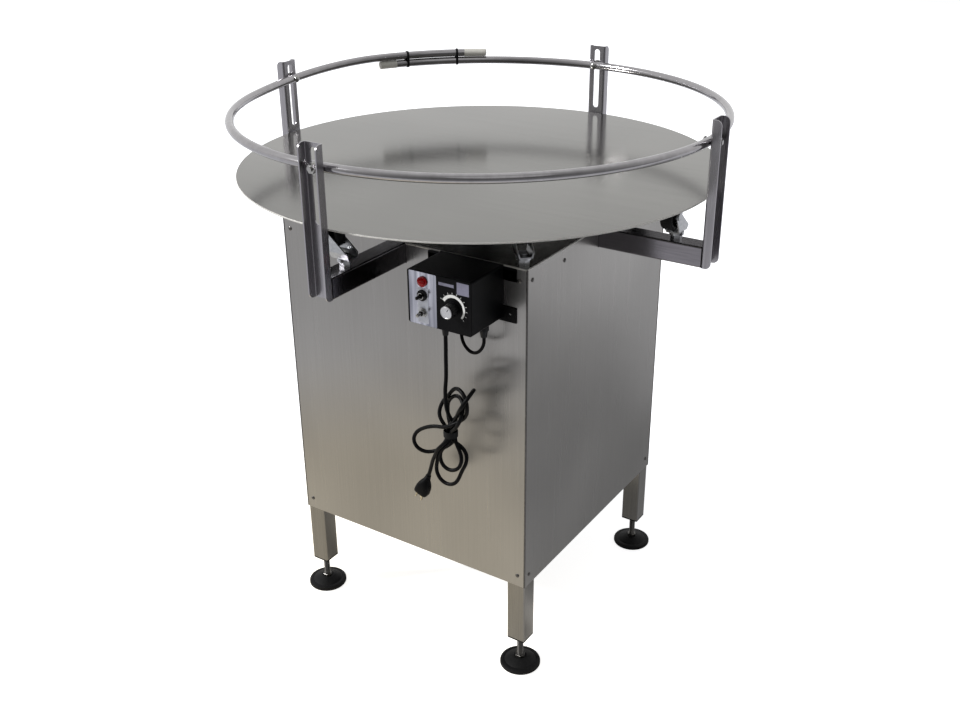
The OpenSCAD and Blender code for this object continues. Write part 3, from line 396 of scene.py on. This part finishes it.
sections = [(squircle(x, y, p), h) for (h, x, y), p in zip(PLUG, power)]
rings = [neck + MM * (q[:, :1] * px + q[:, 1:] * py + h * axis) for q, h in sections]
plug = piece("plug_body", [(rings, False)], "cabinet", jacket, 40)
face = neck + 45.5 * MM * axis
prongs = [prism(face + MM * (out * px - 2 * py), px, py, axis, BLADE, [(1, 0), (1, 14.3), (0.7, 15.4)])
          for out in (BLADE_OUT, -BLADE_OUT)]
prongs.append(turned(face + MM * PIN_UP * py, axis,
                     [(2.4, 0), (2.4, 16.4), (1.7, 17.9), (0.8, 18.4)], 20))
blades = piece("plug_blades", prongs, "cabinet", nickel)
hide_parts("power_plug")

GLAND = np.array([205, -305, 748])
CABLE = GLAND + [
    (0, 0, -26), (0, 0, -37), (-4, 0, -48), (-13, 0, -58), (-26, 2, -62), (-39, 5, -58), (-49, 9, -50),
    (-56, 15, -41), (-61, 22, -35), (-64, 30, -32), (-65, 39, -31), (-65, 45, -31)]
cable_path, cable_length = flowing(CABLE, 0.003)
cable = piece("motor_lead", [tube(cable_path, CABLE_D / 2, 14)], "cabinet", jacket, 60)
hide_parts("motor_cable")


# Guide rail: one bar bent through 389 degrees, which climbs one diameter to lap over its start.
# Radii and heights are in millimetres and angles in degrees.

RAIL_R, RAIL_Z, BAR_R, SLEEVE_R = 458.7, 1025, 8, 8.25
BAR_FROM, BAR_SWEEP = 151, 389
LAP_FROM, LAP_TO, LAP_RISE = 313, 360, 16.6
TIE_ANGLES, STRAP_R = (143.5, 129.5), 8.8


def rail_point(deg):
    """A circle whose height climbs by one diameter along a smoothstep at the lap."""
    u = np.clip((deg - LAP_FROM) / (LAP_TO - LAP_FROM), 0, 1)
    t = np.radians(BAR_FROM - deg)
    height = RAIL_Z + LAP_RISE * u * u * (3 - 2 * u)
    return np.stack([RAIL_R * np.cos(t), RAIL_R * np.sin(t), height], 1) * MM


rail = piece("guide_rail_bar", [tube(rail_point(np.linspace(0, BAR_SWEEP, 780)), BAR_R * MM, 24)],
             "rail", bar, 60)
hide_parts("guide_rail")
# Pale sleeves over the bar's two ends
sleeve_runs = np.linspace(-0.05, 4.2, 12), np.linspace(383.6, BAR_SWEEP + 0.05, 16)
piece("rail_end_sleeves", [tube(rail_point(run), SLEEVE_R * MM, 24) for run in sleeve_runs],
      "rail", pale, 60)

# Cable ties at the lap: a strap round both bars, its ratchet head outside and its cut tail
straps = []
for deg in TIE_ANGLES:
    t = np.radians(deg)
    out, along = np.array([np.cos(t), np.sin(t), 0]), np.array([-np.sin(t), np.cos(t), 0])
    mid = MM * (RAIL_R * out + (RAIL_Z + LAP_RISE / 2) * UP)
    wrap = np.cos(around)[:, None] * out + np.sin(around)[:, None] * UP
    loop = mid + MM * (STRAP_R * wrap + np.sign(np.sin(around))[:, None] * LAP_RISE / 2 * UP)
    straps += [band(loop, wrap, along, 0.005, 0.0016),
               prism(mid + MM * 9.2 * out, along, UP, out, squircle(3.6, 3, 5, 24),
                     [(1, 0), (1.06, 0.8), (1, 3.6), (0.8, 4.4)]),
               prism(mid + MM * (11.2 * out - 2 * UP), along, out, -UP, squircle(2.3, 0.6, 5, 16),
                     [(1, 0), (1, 9), (0.8, 9.6)])]
ties = piece("rail_cable_ties", straps, "rail", abs_black)
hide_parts("rail_ties")


# Levelling feet: rubber pad, hexagon and threaded stem, as tall as the foot's solid

PAD = [(37.5, 0), (39, 0.5), (39.9, 2), (39.9, 6.2), (39, 8.2), (37, 9), (33, 9.9), (31, 9.6),
       (29.5, 10.6), (20, 14.4), (14.5, 16.5), (13.3, 17), (12, 17)]
ACROSS_FLATS = 17
THREAD_R, THREAD_DEPTH, THREAD_FROM, HALF_PITCH = 6.3, 0.55, 20, 0.9
a6 = np.linspace(0, 2 * np.pi, 6, endpoint=False)
hexagon = np.stack([np.cos(a6), np.sin(a6)], 1) * ACROSS_FLATS / np.sqrt(3)
for i in range(1, 5):
    lo, hi = (np.array(c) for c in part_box(f"foot_{i}"))
    base = np.array([(lo[0] + hi[0]) / 2, (lo[1] + hi[1]) / 2, 0])
    steps = np.arange(int((hi[2] / MM - THREAD_FROM) / HALF_PITCH))
    thread = np.stack([THREAD_R - THREAD_DEPTH * (steps % 2), THREAD_FROM + HALF_PITCH * steps], 1)
    pad = piece(f"foot_pad_{i}", [turned(base, UP, PAD, 64)], f"foot_{i}", rubber)
    # Stem and hexagon in the darker steel, whose tone is partly painted shade.
    stem = piece(f"foot_stem_{i}", [
        turned(base, UP, thread, 28),
        prism(base, (1, 0, 0), (0, 1, 0), UP, hexagon, [(0.9, 13.8), (1, 14.6), (1, 21.2), (0.9, 22)])],
        f"foot_{i}", oiled_steel_painted_dark)
    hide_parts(f"foot_{i}")
    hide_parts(f"foot_{i}")


# Control box: dial print, plain bars, blank legend plate, knob cap with its pointer, toggle nut

def mark(path, half, y, thick):
    """A printed line in the box's front plane: a flat strip of the given half widths along a path of
    (x, z), standing a hair proud of the plate."""
    run = unit(np.gradient(path, axis=0))
    side = np.stack([-run[:, 1], run[:, 0]], 1) * np.broadcast_to(half, len(path))[:, None]
    strip = np.stack([path + side, path + side, path - side, path - side], 1)
    depth = np.broadcast_to(np.array([y, y - thick, y - thick, y]), strip.shape[:2])
    return np.stack([strip[..., 0], depth, strip[..., 1]], -1) * MM, False


def heading(deg):
    """The unit vector (x, z) at an angle in the box's front plane."""
    return np.stack([np.cos(np.radians(deg)), np.sin(np.radians(deg))], -1)


FRONT, PRINT = -366.8, 0.4
DIAL, SCALE_FROM, SCALE_TO, POINTER_AT = np.array([186, 792.0]), 150, -40, 55
UPPER_TOGGLE = np.array([0.1255, -0.367, 0.803])
arc = DIAL + 21.5 * heading(np.linspace(SCALE_FROM, SCALE_TO, 60))
marks = [mark(arc, np.linspace(2.9, 1.7, 60), FRONT, PRINT)]
marks += [mark(np.stack([DIAL + 25 * d, DIAL + 28 * d]), 0.35, FRONT, PRINT)
          for d in heading(np.linspace(SCALE_FROM, SCALE_TO, 11))]
piece("dial_print", marks, "cabinet", ink, 20)
piece("plain_bar_print", [mark(np.array([[194, 829.5], [217.5, 829.5]]), 10.5, FRONT, PRINT),
                          mark(np.array([[158, 831.0], [188, 831.0]]), 2.6, FRONT, PRINT)],
      "cabinet", grey_ink, 20)
piece("switch_legend_plate", [mark(np.array([[125.5, 753.0], [125.5, 816.0]]), 10.8, FRONT, 0.5)],
      "cabinet", legend_white, 20)

knob_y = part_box("speed_knob")[0][1]
knob_face = np.array([DIAL[0] * MM, knob_y + 0.0008, DIAL[1] * MM])
piece("knob_cap", [turned(knob_face, (0, -1, 0), [
    (10.4, 0), (10.9, 0.4), (10.9, 1), (10.4, 1.5), (9.4, 1.6), (9.1, 1.35), (4, 1.2), (1, 1.2)], 64)],
    "knob", spun)
aim = heading(POINTER_AT)
piece("knob_pointer", [mark(np.stack([DIAL + 3 * aim, DIAL + 8.6 * aim]), 0.5, knob_y / MM - 0.3, 0.35)],
      "knob", abs_black, 20)
piece("toggle_dress_nut", [turned(UPPER_TOGGLE, (0, -1, 0), [
    (5.7, 0), (9.6, 0), (9.6, 3.8), (8.4, 5), (6.6, 5), (5.7, 4.2)], 48, True)],
    "cabinet", abs_black)


# Edges: the top of each panel is rolled over to a small round, and the disc's edge is ground; both wear
# a pale tone that is partly a painted highlight. A rounded fold stands at each corner of the cabinet,
# its dark tone a painted dark reflection. The bracket's upper plate stands behind the box, up to the
# hem. The lip's sizes are in millimetres, the others in metres.

HEM_AT, HEM_Z, HEM_HALF, HEM_R = 0.2668, 0.8423, 0.2665, 0.0018
FOLD_H, FOLD_R = 0.641, 0.0019
DISC_Z = 0.92
LIP_Y, LIP_Z, LIP_HALF = -268.1, 830, 11.6
hems, folds = [], []
for x, y in ((0, -1), (1, 0), (0, 1), (-1, 0)):
    mid, run = np.array([x * HEM_AT, y * HEM_AT, HEM_Z]), np.array([-y, x, 0])
    hems.append(tube(mid + np.linspace(-HEM_HALF, HEM_HALF, 24)[:, None] * run, HEM_R, 12))
    drop = np.linspace(0, FOLD_H, 24)[:, None] * UP
    folds.append(tube(mid + HEM_AT * run - drop, FOLD_R, 12))
# The corner folds are dark rods: a painted dark reflection.
piece("corner_folds_painted_dark", folds, "cabinet", oiled_steel_painted_dark, 60)
# The disc's rim and the panels' hems wear the pale edge finish, partly a painted highlight.
piece("disc_rim", [turned((0, 0, DISC_Z), UP, [
    (456.6, 0.1), (457.2, 0.1), (457.6, 0.5), (457.6, 2.5), (457.2, 2.9), (456.6, 2.9)], 240, True)],
    "turntable", edge, 40)
piece("panel_hems_painted_highlight", hems, "cabinet", edge, 60)
lo, hi = (np.array(c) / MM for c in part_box("control_bracket"))
lip = squircle((hi[0] - lo[0]) / 2, LIP_HALF, 16, 64)
piece("bracket_upper_plate", [prism(np.array([(lo[0] + hi[0]) / 2, LIP_Y, LIP_Z]) * MM, (1, 0, 0), UP,
                                    (0, -1, 0), lip, [(0.995, 0), (1, 0.3), (1, 1.6), (0.995, 1.9)])],
      "cabinet", powder)


# Stage: a pale floor that keeps the shadow, and plain soft light. The camera sees white all round; what
# the steel mirrors is a room that is bright behind the table and dimmer in front of it, over a floor
# that is warm near the table's left and carries painted shade, a dark grey, towards the front right.

FLOOR_HALF, FLOOR_Z = 9, -0.0006
WARM_SPOT, SHADE_PAINTED_TOWARDS, BRIGHT_WALL = (-0.3, -0.5, 0), (0.7, -0.7, 0), (-0.62, 0.77, 0.1)
ROOM_LIGHT, FLOOR_SHINE = 0.28, 0.18


def ray_kinds(tree):
    """Two sockets: 1 for camera rays, and 1 for glossy or transmission rays."""
    rays = add(tree, "LightPath").outputs
    mirrored = add(tree, "Math", {"operation": "MAXIMUM"},
                   {0: rays["Is Glossy Ray"], 1: rays["Is Transmission Ray"]})
    return rays["Is Camera Ray"], mirrored.outputs[0]


floor_mesh = bpy.data.meshes.new("floor")
floor_mesh.from_pydata([(x * FLOOR_HALF, y * FLOOR_HALF, FLOOR_Z)
                        for x, y in ((-1, -1), (1, -1), (1, 1), (-1, 1))], [], [(0, 1, 2, 3)])
floor = bpy.data.objects.new("floor", floor_mesh)
scene.collection.objects.link(floor)
# White paper: warm near the spot, painted shade far in front, and lifted to white for the camera.
paper = bpy.data.materials.new("white_floor_painted_shade")
paper.use_nodes = True
tree = paper.node_tree
tree.nodes.clear()
seen, mirrored = ray_kinds(tree)
ground = add(tree, "TexCoord").outputs["Object"]
away = add(tree, "VectorMath", {"operation": "DISTANCE"}, {0: ground, 1: WARM_SPOT}).outputs["Value"]
reach = add(tree, "MapRange", None, {"Value": away, "From Min": 0.4, "From Max": 0.95}).outputs[0]
near = add(tree, "Mix", {"data_type": "RGBA"}, {0: reach, 6: linear("#f9efda"), 7: linear("#dfe0e5")})
# Painted shade: towards the front right the floor's colour falls to a dark grey, which the steel
# mirrors.
front = add(tree, "VectorMath", {"operation": "DOT_PRODUCT"}, {0: ground, 1: SHADE_PAINTED_TOWARDS})
painted_shade = add(tree, "MapRange", None,
           {"Value": front.outputs["Value"], "From Min": 1.2, "From Max": 2.1}).outputs[0]
tone = add(tree, "Mix", {"data_type": "RGBA"}, {0: painted_shade, 6: near.outputs[2], 7: linear("#5c5c60")})
shown = add(tree, "MapRange", None, {"Value": painted_shade, "To Min": 0.86, "To Max": 1}).outputs[0]
shine = add(tree, "Math", {"operation": "MULTIPLY"}, {0: mirrored, 1: FLOOR_SHINE}).outputs[0]
strength = add(tree, "Math", {"operation": "MULTIPLY_ADD"}, {0: seen, 1: shown, 2: shine}).outputs[0]
glow = add(tree, "Emission", None, {"Strength": strength})
matte = add(tree, "BsdfDiffuse", None, {"Color": tone.outputs[2]})
both = add(tree, "AddShader", None, {0: glow.outputs[0], 1: matte.outputs[0]})
add(tree, "OutputMaterial", None, {"Surface": both.outputs[0]})
floor_mesh.materials.append(paper)

world = bpy.data.worlds.new("white_room")
world.use_nodes = True
tree = world.node_tree
room = tree.nodes["Background"]
room.inputs["Color"].default_value = (1, 1, 1, 1)
seen, mirrored = ray_kinds(tree)
towards = add(tree, "TexCoord").outputs["Generated"]
facing = add(tree, "VectorMath", {"operation": "DOT_PRODUCT"}, {0: towards, 1: BRIGHT_WALL})
wall = add(tree, "MapRange", None, {"Value": facing.outputs["Value"], "From Min": -0.9, "From Max": 0.4,
                                    "To Min": 0.2, "To Max": 1}).outputs[0]
lit = add(tree, "Mix", None, {0: mirrored, 2: ROOM_LIGHT, 3: wall}).outputs[0]
white = add(tree, "Mix", None, {0: seen, 2: lit, 3: 1.0}).outputs[0]
tree.links.new(white, room.inputs["Strength"])
scene.world = world

LAMPS = (("key", (-0.78, -0.68, 0.66), 11, 3.7), ("fill", (0.75, -0.8, 0.9), 40, 0.15))
for name, place, spread, strength in LAMPS:
    lamp = bpy.data.lights.new(name, "SUN")
    lamp.energy, lamp.angle = strength, np.radians(spread)
    stand = bpy.data.objects.new(name, lamp)
    z = unit(np.array(place))
    x = unit(np.cross(UP, z))
    pose = np.eye(4)
    pose[:3, 0], pose[:3, 1], pose[:3, 2], pose[:3, 3] = x, np.cross(z, x), z, 4 * z
    stand.matrix_world = Matrix(pose.tolist())
    scene.collection.objects.link(stand)
